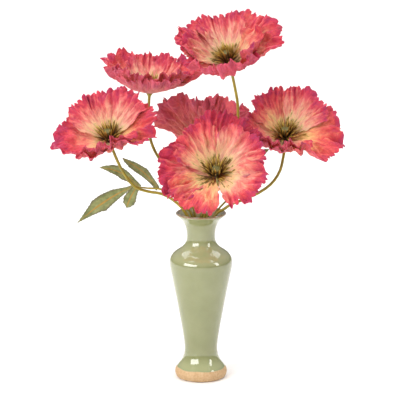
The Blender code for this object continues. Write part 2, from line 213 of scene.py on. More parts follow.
def dyedSilk(name, side):
    # Silk habotai, cut, hand dyed and pressed into shape. Brushed dye runs along the petal in soft
    # streaks from a pale heart, the margin is dipped darker, a low sheen shows where the cloth turns
    # away, and some light comes through it.
    made = newMaterial(name)
    where = addNode(made, "Attribute", attribute_name="petalPlace").outputs["Vector"]
    reach, edge, tone, pale, paintedFoldShade = [
        addNode(made, "Attribute", attribute_name=label).outputs["Fac"]
        for label in ("reach", "edge", "tone", "pale", "paintedFoldShade")
    ]
    patterns = []
    for scale, detail, roughness, distortion in silkLook["patterns"]:
        at = addNode(made, "Mapping", {"Vector": where, "Scale": (*scale, 1.0)})
        inputs = {"Vector": at, "Scale": 1.0, "Detail": detail, "Roughness": roughness}
        patterns.append(addNode(made, "TexNoise", {**inputs, "Distortion": distortion}))
    streak, fine, cloud = patterns
    # wash runs from 0 at the claw to 1 at the margin: a pale petal holds its light heart for longer
    hold = addNode(made, "Math", [pale, 1.3, 1.0], operation="MULTIPLY_ADD")
    spread = addNode(made, "Math", [pale, -0.35, 1.0], operation="MULTIPLY_ADD")
    uneven = addNode(made, "MapRange", [streak, 0.30, 0.70, 0.90, 1.20])
    clouded = addNode(made, "MapRange", [cloud, 0.30, 0.70, -0.24, 0.24])
    wash = addNode(made, "Math", [reach, hold], operation="POWER")
    wash = addNode(made, "Math", [wash, spread], operation="MULTIPLY")
    wash = addNode(made, "Math", [wash, uneven, clouded], operation="MULTIPLY_ADD")
    # painted shade and light at the pleats: the dye runs darker down in each fold and paler along its
    # ridge
    wash = addNode(made, "Math", [paintedFoldShade, -0.08, wash], operation="MULTIPLY_ADD")
    cool = addNode(made, "ValToRGB", {"Fac": wash}, side["dye"])
    warm = addNode(made, "ValToRGB", {"Fac": wash}, side["warmDye"])
    colour = addNode(made, "MixRGB", [tone, cool, warm])
    # the dipped margin, in patches along the petal
    dip = addNode(made, "MapRange", [edge, 0.0, silkLook["dipDepth"], 1.0, 0.0])
    patch = addNode(made, "MapRange", [cloud, 0.46, 0.64, 0.0, 0.75])
    dip = addNode(made, "Math", [dip, patch], operation="MULTIPLY")
    colour = addNode(made, "MixRGB", [dip, colour, side["dip"]])
    # threads of stronger dye where the cloth is coral, and a little light and dark along them
    brushed = addNode(made, "MapRange", [fine, 0.50, 0.66, 0.0, 0.68])
    coloured = addNode(made, "MapRange", [wash, 0.30, 0.75])
    brushed = addNode(made, "Math", [brushed, coloured], operation="MULTIPLY")
    colour = addNode(made, "MixRGB", [brushed, colour, side["brush"]])
    thread = addNode(made, "MapRange", [fine, 0.36, 0.6, side["dark"], 1.06])
    colour = addNode(made, "MixRGB", [1.0, colour, thread], blend_type="MULTIPLY")
    # the claw, olive and brushed with short dark rays
    rays = addNode(made, "MapRange", [streak, 0.46, 0.62])
    near = addNode(made, "MapRange", [reach, 0.10, 0.24, 0.75, 0.0])
    rays = addNode(made, "Math", [rays, near], operation="MULTIPLY")
    colour = addNode(made, "MixRGB", [rays, colour, side["rays"]])
    # a weave of about 0.35 mm, drawn at 0.8 mm so that it can show, over pressed crinkles
    threads = addNode(made, "Mapping", {"Vector": where, "Scale": (1.25, 1.25, 0.0)})
    weave = addNode(made, "TexMagic", {
        "Vector": threads, "Scale": 1.25, "Distortion": 0.4,
    }, turbulence_depth=1)
    crumpleAt = addNode(made, "Mapping", {"Vector": where, "Scale": (*silkLook["crinkles"], 1.0)})
    crumple = addNode(made, "TexNoise", {
        "Vector": crumpleAt, "Scale": 1.0, "Detail": 2.0, "Distortion": 1.2,
    })
    height = addNode(made, "Math", [weave.outputs["Fac"], 0.08, streak], operation="MULTIPLY_ADD")
    height = addNode(made, "Math", [crumple, 1.6, height], operation="MULTIPLY_ADD")
    height = addNode(made, "Math", [fine, 0.6, height], operation="MULTIPLY_ADD")
    bump = addNode(made, "Bump", {"Height": height, "Strength": 0.7, "Distance": 0.0016})
    low, high = side["roughness"] - 0.08, side["roughness"] + 0.1
    gloss = addNode(made, "MapRange", [fine, 0.0, 1.0, low, high])
    shader = addNode(made, "BsdfPrincipled", {
        "Base Color": colour,
        "Roughness": gloss,
        "Normal": bump,
        "IOR": 1.45,
        "Sheen Weight": 0.12,
        "Sheen Roughness": 0.4,
        "Sheen Tint": "#FFD9D2",
        "Specular IOR Level": 0.25,
        "Subsurface Weight": 0.26,
        "Subsurface Radius": (0.006, 0.0018, 0.0015),
        "Subsurface Scale": 1.0,
    })
    addNode(made, "OutputMaterial", {"Surface": shader})
    return made


silkFace = dyedSilk("dyedSilkFace", silkLook["face"])
silkBack = dyedSilk("dyedSilkBack", silkLook["back"])


wireLook = {"dye": [(0.30, "#62560C"), (0.5, "#8E7C14"), (0.70, "#B29C26")], "roughness": (0.32, 0.5)}


def coatedWire():
    # Iron wire dipped in PVC: a satin olive skin, yellower where it is thin, with faint runs along it,
    # 1 mm wide and 17 mm long, and a grain of 0.7 mm.
    made = newMaterial("pvcCoatedWire")
    place = addNode(made, "Attribute", attribute_name="stemPlace")
    runs = addNode(made, "Mapping", {"Vector": place.outputs["Vector"], "Scale": (1.0, 0.06, 1.0)})
    noise = addNode(made, "TexNoise", {"Vector": runs, "Scale": 1.0, "Detail": 4.0})
    colour = addNode(made, "ValToRGB", {"Fac": noise}, wireLook["dye"])
    grain = addNode(made, "TexNoise", {"Vector": place.outputs["Vector"], "Scale": 1.4, "Detail": 3.0})
    bump = addNode(made, "Bump", {"Height": grain, "Strength": 0.35, "Distance": 0.0004})
    low, high = wireLook["roughness"]
    gloss = addNode(made, "MapRange", [noise, 0.0, 1.0, low, high])
    shader = addNode(made, "BsdfPrincipled", {
        "Base Color": colour, "Roughness": gloss, "Normal": bump, "IOR": 1.53,
    })
    addNode(made, "OutputMaterial", {"Surface": shader})
    return made


wireGreen = coatedWire()


def mouldedPolythene(name, stops, roughness):
    # Polythene moulded in olive and dusted in specks of 1 mm. Its colour runs dark at the root and pale
    # at the tips: partly its own colour, partly a painted shade where the strands crowd at the root and a
    # painted highlight at the tips. On the pod the ribs are painted lighter and the grooves darker.
    made = newMaterial(name)
    along = addNode(made, "Attribute", attribute_name="along").outputs["Fac"]
    own = addNode(made, "Attribute", attribute_name="own").outputs["Fac"]
    spot = addNode(made, "TexCoord").outputs["Object"]
    dust = addNode(made, "TexNoise", {"Vector": spot, "Scale": 900.0, "Detail": 3.0})
    # in part painted shade and highlight: the ramp runs dark at the root and pale at the tips
    shade = addNode(made, "Math", [own, 0.30, along], operation="MULTIPLY_ADD")
    shade = addNode(made, "Math", [dust, 0.30, shade], operation="MULTIPLY_ADD")
    shade = addNode(made, "Math", [shade, 0.30], operation="SUBTRACT")
    colour = addNode(made, "ValToRGB", {"Fac": shade}, stops)
    bump = addNode(made, "Bump", {"Height": dust, "Strength": 0.3, "Distance": 0.0004})
    gloss = addNode(made, "MapRange", [dust, 0.0, 1.0, roughness, roughness + 0.2])
    shader = addNode(made, "BsdfPrincipled", {
        "Base Color": colour, "Roughness": gloss, "Normal": bump, "IOR": 1.51,
    })
    addNode(made, "OutputMaterial", {"Surface": shader})
    return made


stamenOlive = mouldedPolythene(
    "mouldedPolytheneOlive",
    [(0.0, "#170D03"), (0.28, "#352108"), (0.50, "#664610"), (0.72, "#967428"), (1.0, "#C6A850")],
    roughness=0.34,
)
podGreen = mouldedPolythene(
    "mouldedPolytheneGreen",
    [(0.0, "#1A1306"), (0.35, "#30280E"), (0.65, "#4A421A"), (1.0, "#68602C")],
    roughness=0.45,
)


leafDye = {
    "cloth": [(0.32, "#566034"), (0.5, "#767E4A"), (0.68, "#8E925E")],
    "ribs": "#A67C2C",
    "rim": "#4E3A3C",
}


def waxedCotton():
    # Cotton cloth stiffened with wax and printed as a leaf: matt sage mottled every 6 mm, ochre ribs and
    # a bruised purple rim.
    made = newMaterial("waxedCottonLeaf")
    place = addNode(made, "Attribute", attribute_name="leafPlace")
    where = place.outputs["Vector"]
    across = addNode(made, "Attribute", attribute_name="across").outputs["Fac"]
    along = addNode(made, "Attribute", attribute_name="along").outputs["Fac"]
    mottle = addNode(made, "TexNoise", {"Vector": where, "Scale": 0.16, "Detail": 4.0, "Roughness": 0.6})
    colour = addNode(made, "ValToRGB", {"Fac": mottle}, leafDye["cloth"])
    # side veins leave the midrib every 9 mm or so
    side = addNode(made, "Math", [across], operation="ABSOLUTE")
    slant = addNode(made, "Math", [side, -0.9, along], operation="MULTIPLY_ADD")
    ribs = addNode(made, "Math", [slant, 5.0], operation="MULTIPLY")
    ribs = addNode(made, "Math", [ribs, 1.0], operation="PINGPONG")
    veins = addNode(made, "MapRange", [ribs, 0.0, 0.16, 0.4, 0.0])
    midrib = addNode(made, "MapRange", [side, 0.05, 0.16, 0.9, 0.0])
    ochre = addNode(made, "Math", [veins, midrib], operation="MAXIMUM")
    colour = addNode(made, "MixRGB", [ochre, colour, leafDye["ribs"]])
    rim = addNode(made, "MapRange", [side, 0.62, 1.0, 0.0, 1.3])
    rim = addNode(made, "Math", [rim, mottle], operation="MULTIPLY")
    colour = addNode(made, "MixRGB", [rim, colour, leafDye["rim"]])
    # plain weave, 0.4 mm drawn at 0.8 mm
    weave = addNode(made, "TexMagic", {
        "Vector": where, "Scale": 1.57, "Distortion": 0.3,
    }, turbulence_depth=1)
    height = addNode(made, "Math", [weave.outputs["Fac"], 0.12, mottle], operation="MULTIPLY_ADD")
    height = addNode(made, "Math", [ochre, 0.6, height], operation="MULTIPLY_ADD")
    bump = addNode(made, "Bump", {"Height": height, "Strength": 0.6, "Distance": 0.0009})
    gloss = addNode(made, "MapRange", [mottle, 0.0, 1.0, 0.5, 0.72])
    shader = addNode(made, "BsdfPrincipled", {
        "Base Color": colour, "Roughness": gloss, "Normal": bump, "IOR": 1.45, "Sheen Weight": 0.1,
    })
    addNode(made, "OutputMaterial", {"Surface": shader})
    return made


leafCotton = waxedCotton()


vaseLook = {
    "glaze": [(0.30, "#7C7F54"), (0.5, "#818459"), (0.70, "#86895F")],
    # painted top light: the paler glaze for surfaces that face up
    "paintedTopLightGlaze": "#A0A276",
    "specks": "#7A744F",
    "glazeRoll": "#89966F",
    "thinGlaze": "#94725A",
    "clay": [(0.3, "#AC885D"), (0.5, "#BE9C73"), (0.72, "#CAAE8A")],
    "glazeLine": 0.0123,  # metres above the foot
    "glazeSway": 0.0035,  # how far that line wanders up and down
    "lipLine": (0.1866, 0.1878),  # where the glaze starts to run thin, and is thinnest
}


def celadonStoneware():
    # Stoneware thrown on a wheel and dipped in celadon glaze: glassy and sea green, thin and brown over
    # the lip, and stopping short of a bare tan clay foot. Where it faces up it is painted paler, a
    # painted top light.
    made = newMaterial("celadonStoneware")
    spot = addNode(made, "TexCoord").outputs["Object"]
    parts = addNode(made, "SeparateXYZ", {"Vector": spot})
    rise = parts.outputs["Z"]
    # glaze in clouds of 30 mm, with specks of 1.5 mm
    cloud = addNode(made, "TexNoise", {"Vector": spot, "Scale": 32.0, "Detail": 4.0, "Roughness": 0.55})
    glaze = addNode(made, "ValToRGB", {"Fac": cloud}, vaseLook["glaze"])
    # painted top light: the glaze is painted paler where it faces up, on the shoulder and the flare of
    # the foot
    normal = addNode(made, "NewGeometry").outputs["Normal"]
    upward = addNode(made, "SeparateXYZ", {"Vector": normal}).outputs["Z"]
    thick = addNode(made, "MapRange", [upward, 0.15, 0.70, 0.0, 0.85])
    glaze = addNode(made, "MixRGB", [thick, glaze, vaseLook["paintedTopLightGlaze"]])
    speck = addNode(made, "TexNoise", {"Vector": spot, "Scale": 700.0, "Detail": 2.0})
    speck = addNode(made, "MapRange", [speck, 0.66, 0.78, 0.0, 0.35])
    glaze = addNode(made, "MixRGB", [speck, glaze, vaseLook["specks"]])
    # throwing rings, 2.5 mm apart
    rings = addNode(made, "Math", [rise, 2500.0], operation="MULTIPLY")
    rings = addNode(made, "Math", [rings], operation="SINE")
    # bare clay, its grit 2.4 mm and finer, below an uneven glaze line
    clayGrain = addNode(made, "TexNoise", {
        "Vector": spot, "Scale": 420.0, "Detail": 5.0, "Roughness": 0.7,
    })
    clay = addNode(made, "ValToRGB", {"Fac": clayGrain}, vaseLook["clay"])
    sway = addNode(made, "TexNoise", {"Vector": spot, "Scale": 55.0, "Detail": 2.0})
    level = addNode(made, "Math", [sway, vaseLook["glazeSway"], rise], operation="MULTIPLY_ADD")
    low = vaseLook["glazeLine"] + vaseLook["glazeSway"] / 2
    dipped = addNode(made, "MapRange", [level, low - 0.0003, low + 0.0003])
    # and thick where it stops, in a roll 2 mm high
    roll = addNode(made, "MapRange", [level, low + 0.0002, low + 0.0022, 0.6, 0.0])
    glaze = addNode(made, "MixRGB", [roll, glaze, vaseLook["glazeRoll"]])
    colour = addNode(made, "MixRGB", [dipped, clay, glaze])
    # the glaze runs thin on the lip and the body shows through
    starts, thinnest = vaseLook["lipLine"]
    lip = addNode(made, "MapRange", [rise, starts, thinnest])
    thin = addNode(made, "MapRange", [clayGrain, 0.38, 0.6, 0.35, 0.95])
    lip = addNode(made, "Math", [lip, thin], operation="MULTIPLY")
    colour = addNode(made, "MixRGB", [lip, colour, vaseLook["thinGlaze"]])
    height = addNode(made, "Math", [rings, 0.02, cloud], operation="MULTIPLY_ADD")
    height = addNode(made, "MixRGB", [dipped, clayGrain, height])
    bump = addNode(made, "Bump", {"Height": height, "Strength": 0.10, "Distance": 0.002})
    gloss = addNode(made, "MapRange", [dipped, 0.0, 1.0, 0.75, 0.06])
    coat = addNode(made, "MapRange", [dipped, 0.0, 1.0, 0.0, 0.7])
    shader = addNode(made, "BsdfPrincipled", {
        "Base Color": colour, "Roughness": gloss, "Normal": bump, "IOR": 1.52, "Coat Weight": coat,
        "Coat Roughness": 0.04, "Coat IOR": 1.6,
    })
    addNode(made, "OutputMaterial", {"Surface": shader})
    return made


celadon = celadonStoneware()
print("materials made")


vaseShape = {
    # height and outer radius in mm, foot to lip
    "outline": [
        (0.0, 24.5), (0.7, 26.3), (2.0, 27.6), (6.5, 28.9), (10.0, 28.0), (13.0, 26.3), (21.5, 20.7),
        (32.0, 18.4), (50.0, 20.3), (81.0, 25.8), (112.0, 31.8), (124.0, 34.2), (131.0, 35.0),
        (136.5, 34.3), (142.5, 30.0), (149.0, 21.2), (155.0, 16.9), (162.0, 15.8), (171.0, 17.0),
        (179.0, 20.5), (185.0, 26.2), (186.9, 27.7),
    ],
    "wall": 2.8,
    "floor": 8.0,
    "lipTop": 188.0,
    "sides": 144,
}


def buildVase(shape):
    floor = shape["floor"]
    outer = smoothLine([(r, z) for z, r in shape["outline"]], 5)
    slopes = directions(outer)
    inner = outer + np.stack([-slopes[:, 1], slopes[:, 0]], 1) * shape["wall"]
    inner = inner[inner[:, 1] > floor + 3.0]
    turn = np.linspace(0, math.pi, 9)
    start, end = outer[-1], inner[-1]
    middle, half = (start + end) / 2, np.linalg.norm(end - start) / 2
    lip = np.stack([middle[0] + half * np.cos(turn), middle[1] + 0.75 * half * np.sin(turn)], 1)[1:-1]
    lip[:, 1] *= shape["lipTop"] / lip[:, 1].max()
    bottom = np.array([(0.0, 0.0), (12.0, 0.0), (23.0, 0.0)])
    floorLine = np.array([(inner[0, 0] - 3.5, floor + 0.7), (8.0, floor), (0.0, floor)])
    profile = np.vstack([bottom, outer, lip, inner[::-1], floorLine]) * mm
    sides, rows = shape["sides"], len(profile) - 2
    angle = np.arange(sides) * 2 * math.pi / sides
    ring = profile[1:-1]
    points = np.stack([
        np.cos(angle)[:, None] * ring[None, :, 0],
        np.sin(angle)[:, None] * ring[None, :, 0],
        np.broadcast_to(ring[None, :, 1], (sides, rows)),
    ], 2).reshape(-1, 3)
    points = np.vstack([points, [(0, 0, profile[0, 1])], [(0, 0, profile[-1, 1])]])
    makePiece("celadonVase", points, turnedFaces(sides, rows), [celadon], ["vase"])


buildVase(vaseShape)
print("vase made")


petalLook = {
    "reach": 66.0,  # mm, the run over which a petal's slope turns
    "clawRadius": 4.5,
    "hiddenClaw": 2.7,  # mm of petal inside the claw radius, gathered over the receptacle
    "whorlGap": 1.3,
    "whorlSpread": 3.2,
    "cupping": (3.2, 0.8),  # mm the sides stand above the middle, inner and outer petals
    "overlap": 0.8,  # mm a petal's left edge rides over its neighbour's right edge
    "thickness": 0.3,
    "columnStep": 0.7,  # mm along the margin
    "rows": 44,
    "toothWidth": (4.5, 9.5),
    "toothDepth": (1.5, 5.2),
    # waves round the bloom: how many, and how high in mm at the margin
    "ruffles": ((3, 5, 8, 13, 18, 25), (1.3, 1.4, 1.8, 2.3, 2.3, 1.7)),
    "fullRuffle": 62.0,  # mm from the claw to where the ruffles are this high
    "pleats": ((34, 43, 55, 69), (0.60, 0.68, 0.62, 0.42)),
    "pleatSwells": ((2, 5, 9), (0.3, 0.35, 0.3)),  # how the pleats come and go
    "crinkles": ((117, 151, 190), (0.16, 0.13, 0.10)),
    # waves of the petal's own: in its outline as a share of its length, in its sides, and its creases
    "outlineWaves": ((2, 5, 8), (0.03, 0.02, 0.015)),
    "sideWaves": ((3, 7), (0.035, 0.018)),
    "creases": ((2.1, 3.3, 5.2), (0.7, 0.5, 0.3)),
    "dents": ((26.0, 0.42), (15.0, 0.32), (9.0, 0.19), (5.5, 0.09)),  # mm across, and high, each
}

# A bloom's cup: direction round it, then its slope at the claws and at the margin there, in degrees.
# Each petal: direction, half spread, length in mm, how far its tip leans in from the cup in degrees,
# warmth of its dye from 0, pink, to 1, orange, how far its pale heart spreads, how crumpled it is, and
# how far in mm its left edge curls up, or its right edge where negative.
blooms = {
    "front": {
        "seed": 3,
        "base": (16.2, -45.0, 241.2),
        "facing": (0.0, -0.695, 0.719),
        "cup": [(128, 40, 18), (85, 40, 16), (42, 42, 18), (0, 36, 8), (322, 30, -2), (285, 30, 0),
                (243, 30, -6), (186, 30, -4)],
        "inner": [(130, 48, 58, 18, 0.40, 0.32, 1.1, -4), (36, 54, 60, 16, 0.0, 0.40, 1.0, 7),
                  (234, 42, 62, 4, 0.65, 0.34, 1.5, -5), (320, 42, 62, 14, 0.10, 0.20, 1.3, 7)],
        "outer": [(76, 58, 69, -5, 0.0, -0.10, 1.1, 0), (188, 50, 64, -2, 0.0, -0.12, 1.5, 4)],
    },
    "left": {
        "seed": 11,
        "base": (-99.0, -25.0, 275.5),
        "facing": (-0.185, -0.444, 0.877),
        "cup": [(128, 44, 24), (84, 44, 20), (44, 44, 22), (0, 38, 16), (330, 26, 14), (288, 14, 88),
                (248, 0, 72), (206, 20, 26), (165, 36, 26)],
        "inner": [(126, 52, 54, 10, 0.20, 0.20, 1.0, 0), (46, 44, 56, 8, 0.0, 0.24, 1.0, 3),
                  (280, 54, 56, 8, 0.1, -0.2, 1.3, 3)],
        "outer": [(84, 58, 61, 0, 0.0, 0.0, 1.0, 0), (208, 62, 58, 0, 0.40, -0.10, 1.3, -2),
                  (334, 60, 60, 2, 0.8, 0.12, 1.2, 3)],
    },
    "top": {
        "seed": 23,
        "base": (30.0, 5.0, 356.0),
        "facing": (-0.27, -0.43, 0.861),
        "cup": [(88, 46, 22), (50, 40, 15), (8, 30, 10), (332, 6, 52), (300, 0, 94), (262, -8, 108),
                (222, 10, 94), (185, 42, 46), (140, 49, 32)],
        "inner": [(92, 50, 56, 9, 0.0, 0.28, 1.0, 0), (164, 46, 57, 6, 0.25, 0.30, 1.2, 0),
                  (346, 44, 54, 34, 0.30, 0.26, 1.2, 5)],
        "outer": [(30, 62, 65, -3, 0.25, 0.14, 1.1, 0), (146, 58, 62, 0, 0.2, 0.1, 1.1, 0),
                  (264, 76, 57, 0, 0.0, -0.25, 1.2, 5)],
    },
    "upper_left": {
        "seed": 31,
        "base": (-57.2, 60.0, 312.1),
        "facing": (0.051, 0.0, 0.998),
        "cup": [(92, 32, 54), (40, 24, 52), (355, 18, 54), (320, 14, 62), (268, 8, 72), (215, 12, 72),
                (170, 16, 66), (135, 26, 58)],
        "inner": [(88, 60, 55, 4, 0.0, 0.24, 1.3, 0), (222, 60, 52, 10, 0.2, 0.1, 1.5, 0),
                  (318, 58, 51, 10, 0.4, 0.1, 1.5, 0)],
        "outer": [(34, 62, 61, -3, 0.3, 0.04, 1.2, 0), (152, 64, 61, 0, 0.4, 0.12, 1.2, 0),
                  (268, 72, 51, -4, 0.0, 0.0, 1.0, 0)],
    },
    "back": {
        "seed": 47,
        "base": (2.3, 62.0, 249.0),
        "facing": (0.0, 0.559, 0.829),
        "cup": [(268, 48, 40), (318, 44, 34), (30, 44, 30), (90, 42, 28), (150, 44, 30), (216, 46, 44)],
        "inner": [(268, 62, 57, 6, 0.1, 0.1, 1.0, 0), (28, 62, 61, 6, 0.0, 0.1, 1.0, 0),
                  (150, 62, 61, 6, 0.2, 0.1, 1.0, 0)],
        "outer": [(216, 60, 67, -2, 0.6, 0.0, 1.3, 0), (318, 60, 65, -2, 0.5, 0.0, 1.3, 0),
                  (90, 68, 62, 0, 0.3, 0.0, 1.0, 0)],
    },
    "right": {
        "seed": 59,
        "base": (92.0, -5.0, 273.5),
        "facing": (-0.038, -0.485, 0.874),
        "cup": [(84, 46, 26), (122, 48, 30), (46, 46, 24), (5, 36, 8), (338, 22, -8), (314, 16, -6),
                (286, 8, 76), (268, 2, 106), (238, 4, 96), (195, 26, 52), (160, 44, 34)],
        "inner": [(124, 50, 53, 9, 0.7, 0.16, 1.0, 0), (46, 46, 58, 8, 0.1, 0.26, 1.0, 4),
                  (264, 56, 52, 12, 0.2, -0.05, 1.2, 3)],
        "outer": [(84, 58, 57, 0, 0.5, 0.06, 1.1, 0), (214, 66, 50, 0, 0.3, 0.1, 1.2, 0),
                  (332, 60, 66, 0, 0.85, 0.2, 1.2, 2)],
    },
}


def bloomAxes(bloom):
    # Z is the way the bloom faces and X its right; the base is where its petals meet
    z = np.array(bloom["facing"]) / np.linalg.norm(bloom["facing"])
    x = np.array([1.0, 0.0, 0.0]) - z[0] * z
    x /= np.linalg.norm(x)
    return np.array(bloom["base"]) * mm, x, np.cross(z, x), z


def toWorld(axes, radius, azimuth, height):
    base, x, y, z = axes
    flat = np.cos(azimuth)[..., None] * x + np.sin(azimuth)[..., None] * y
    return base + (radius[..., None] * flat + height[..., None] * z) * mm


def cupPoint(cup, lean, azimuth, run, lift):
    # a point on the bloom's cup, lifted along the cup's own normal; all in mm
    weights = [np.exp(8 * (np.cos(azimuth - math.radians(c[0])) - 1)) for c in cup]
    total = sum(weights)
    claw, tip = [np.radians(sum(w * c[i] for w, c in zip(weights, cup)) / total) for i in (1, 2)]
    bend = (tip + math.radians(lean) - claw) / petalLook["reach"]
    bend = np.where(np.abs(bend) < 1e-4, 1e-4, bend)
    slope = claw + bend * run
    radius = petalLook["clawRadius"] + (np.sin(slope) - np.sin(claw)) / bend - lift * np.sin(slope)
    height = (np.cos(claw) - np.cos(slope)) / bend + lift * np.cos(slope)
    return radius, height


def waves(random, counts, heights):
    # round-the-bloom waves with drifting phase, for ruffles and pleats
    return [(k, a, random.uniform(0, 6.28), random.uniform(-0.05, 0.05)) for k, a in zip(counts, heights)]


def ripple(waveList, azimuth, run):
    return sum(a * np.sin(k * azimuth + phase + drift * run) for k, a, phase, drift in waveList)


def dents(random, across, run):
    # soft dents and folds in every direction, longer along the petal than across it, in mm
    total = 0
    for size, height in petalLook["dents"]:
        for _ in range(5):
            turn = random.normal(0, 0.55)
            phase, bend = random.uniform(0, 6.28, 2)
            sideways = across + 0.22 * size * np.sin(run / size * 1.7 + bend)
            turned = sideways * math.cos(turn) + run * math.sin(turn)
            total += height * np.sin(turned * 6.28 / size + phase)
    return total


def toothedMargin(random, place, width):
    # how far the margin is cut back at each place along it, in mm
    knots = [-width / 2 - 4]
    while knots[-1] < width / 2 + 4:
        knots.append(knots[-1] + random.uniform(*petalLook["toothWidth"]))
    knots = np.array(knots)
    depths = random.uniform(*petalLook["toothDepth"], len(knots))
    powers = random.uniform(1.3, 2.8, len(knots))
    skews = random.uniform(0.6, 1.6, len(knots))
    heads = random.uniform(0.0, 1.2, len(knots))
    tooth = np.clip(np.searchsorted(knots, place, side="right") - 1, 0, len(knots) - 2)
    share = np.clip((place - knots[tooth]) / (knots[tooth + 1] - knots[tooth]), 0, 1) ** skews[tooth]
    cut = np.abs(2 * share - 1) ** powers[tooth] * depths[tooth] + heads[tooth]
    warped = place + 0.5 * np.sin(place * 0.9 + random.uniform(0, 6))
    nicks = 0.95 * np.abs(((warped / 2.9) % 1) * 2 - 1)
    return cut + nicks


def buildPetal(name, bloom, whorl, index, lowered, axes, bloomWaves, random):
    direction, halfSpread, length, lean, warmth, pale, crumple, curl = bloom[whorl][index]
    width = 2 * math.radians(halfSpread) * length * 0.9
    columns = int(width / petalLook["columnStep"])
    rows = petalLook["rows"]
    side = np.linspace(-1, 1, columns)
    # the margin: rounded at the sides, gently uneven, and toothed
    swell = ripple(waves(random, *petalLook["outlineWaves"]), side * 1.5, 0)
    rounding = 1.0 - 0.12 * side**2 - 0.28 * side**8 + swell
    outline = length * rounding - toothedMargin(random, side * width / 2, width)
    share = np.linspace(0, 1, rows) ** 0.85
    hidden = petalLook["hiddenClaw"]
    run = (outline[:, None] + hidden) * share[None, :] - hidden
    across = np.broadcast_to(side[:, None], run.shape)
    widening = 0.86 + 0.14 * smoothstep(run / length, 0.0, 0.4)
    azimuth = math.radians(direction) + across * math.radians(halfSpread) * widening
    edgeSway = ripple(waves(random, *petalLook["sideWaves"]), run / 12.0, 0)
    azimuth += np.abs(across) ** 6 * edgeSway * smoothstep(run, 8, 30)
    # ruffles and pleats run through the whole bloom, crinkles and creases are the petal's own
    grow = np.clip(run / petalLook["fullRuffle"], 0, 1.2)
    ruffles, pleats, swells = bloomWaves
    uneven = np.clip(0.75 + ripple(swells, azimuth, run), 0.1, 1.6)
    warped = azimuth + 0.05 * np.sin(run / 9.0 + 4 * azimuth)
    lift = ripple(ruffles, warped, run) * grow**2.0 * crumple
    folded = ripple(pleats, warped, run * 1.5) * smoothstep(run, 14, 60) * uneven
    lift += folded * crumple
    crinkles = waves(random, *petalLook["crinkles"])
    lift += ripple(crinkles, azimuth, run * 4) * smoothstep(run, 6, 30) * crumple
    creases = waves(random, *petalLook["creases"])
    bent = ripple(creases, run / 9.0 + 1.3 * np.sin(azimuth * 5), azimuth)
    lift += bent * smoothstep(run, 16, 50) * (0.4 + 2.0 * max(0.0, crumple - 1.0))
    lift += petalLook["overlap"] * across**3 * smoothstep(run, 4, 20)
    curledSide = across if curl > 0 else -across
    lift += abs(curl) * smoothstep(curledSide, 0.45, 1.0) ** 1.5 * smoothstep(run, 8, 40)
    lift += dents(random, across * width / 2, run) * smoothstep(run, 10, 40) * crumple
    lift += petalLook["cupping"][lowered] * (across**2 - 0.3) * smoothstep(run, 6, 50)
    if lowered:
        lift -= petalLook["whorlGap"] + petalLook["whorlSpread"] * grow
    radius, height = cupPoint(bloom["cup"], lean, azimuth, run, lift)
    points = toWorld(axes, radius, azimuth, height).reshape(-1, 3)
    seed = bloom["seed"] + index * 5.3 + lowered * 17.1
    place = np.stack([across * width / 2, run, np.full(run.shape, seed)], 2).reshape(-1, 3)
    attributes = {
        "petalPlace": place,
        "reach": np.clip(run / length, 0, 1).ravel(),
        "edge": (outline[:, None] - run).ravel(),
        "tone": np.full(run.size, warmth),
        "pale": np.full(run.size, pale),
        # the pleats' height, which carries painted shade into the dye: darker in their valleys, paler on
        # their ridges
        "paintedFoldShade": folded.ravel(),
    }
    faces = [f[::-1] for f in gridFaces(columns, rows)]
    petal = makePiece(name, points, faces, [silkFace, silkBack], [name], attributes)
    addSolidify(petal, petalLook["thickness"] * mm, 1)


stamenLook = {
    # strands in the ring, radius and height of their tips in mm, and how far round it is shifted
    "rings": [
        (13, 18.5, 11.0, 0.0), (12, 15.5, 15.0, 0.5), (11, 11.5, 17.5, 0.2),
        (9, 7.5, 18.5, 0.7), (6, 4.2, 18.0, 0.1),
    ],
    "thickness": 0.95,
    "girth": ([0, 0.25, 0.6, 0.85, 1.0], [0.55, 0.75, 1.0, 0.62, 0.05]),  # along a strand
    "flatness": 0.55,
    "footRadius": 3.6,
    "footHeight": 1.2,
    "steps": 8,
    "corners": 6,
}


def buildStamens(name, axes, random):
    # pointed strands in rings, each a tapering tube with a few flat sides
    points, faces, along, own = [], [], [], []
    steps, corners = stamenLook["steps"], stamenLook["corners"]
    share = np.linspace(0, 1, steps)
    girth = np.interp(share, *stamenLook["girth"]) * stamenLook["thickness"]
    for count, tipRadius, tipHeight, shift in stamenLook["rings"]:
        for i in range(count):
            turn = 2 * math.pi * (i + shift + random.uniform(-0.3, 0.3)) / count
            reach = tipRadius * random.uniform(0.82, 1.1)
            top = tipHeight * random.uniform(0.8, 1.12)
            foot = stamenLook["footRadius"] + 0.08 * reach
            lean = random.uniform(-0.16, 0.16)
            r = foot + (reach - foot) * share ** random.uniform(1.0, 1.5)
            z = stamenLook["footHeight"] + top * share ** random.uniform(0.75, 1.0)
            a = turn + lean * share
            line = np.stack([r * np.cos(a), r * np.sin(a), z], 1)
            tangent = directions(line)
            sideways = np.stack([-np.sin(a), np.cos(a), np.zeros(steps)], 1)
            outward = np.cross(sideways, tangent)
            thick = girth * random.uniform(0.75, 1.15)
            start = len(points)
            for j in range(steps):
                for c in range(corners):
                    w = 2 * math.pi * c / corners
                    offset = sideways[j] * math.cos(w) + outward[j] * math.sin(w) * stamenLook["flatness"]
                    points.append(line[j] + offset * thick[j])
                    along.append(share[j])
            strandOwn = random.uniform(0, 1)
            own += [strandOwn] * (steps * corners)
            faces += tubeFaces(steps, corners, start)
    points = np.array(points)
    radius, azimuth = np.hypot(points[:, 0], points[:, 1]), np.arctan2(points[:, 1], points[:, 0])
    world = toWorld(axes, radius, azimuth, points[:, 2])
    attributes = {"along": along, "own": own}
    makePiece(name, world, faces, [stamenOlive], [name], attributes)


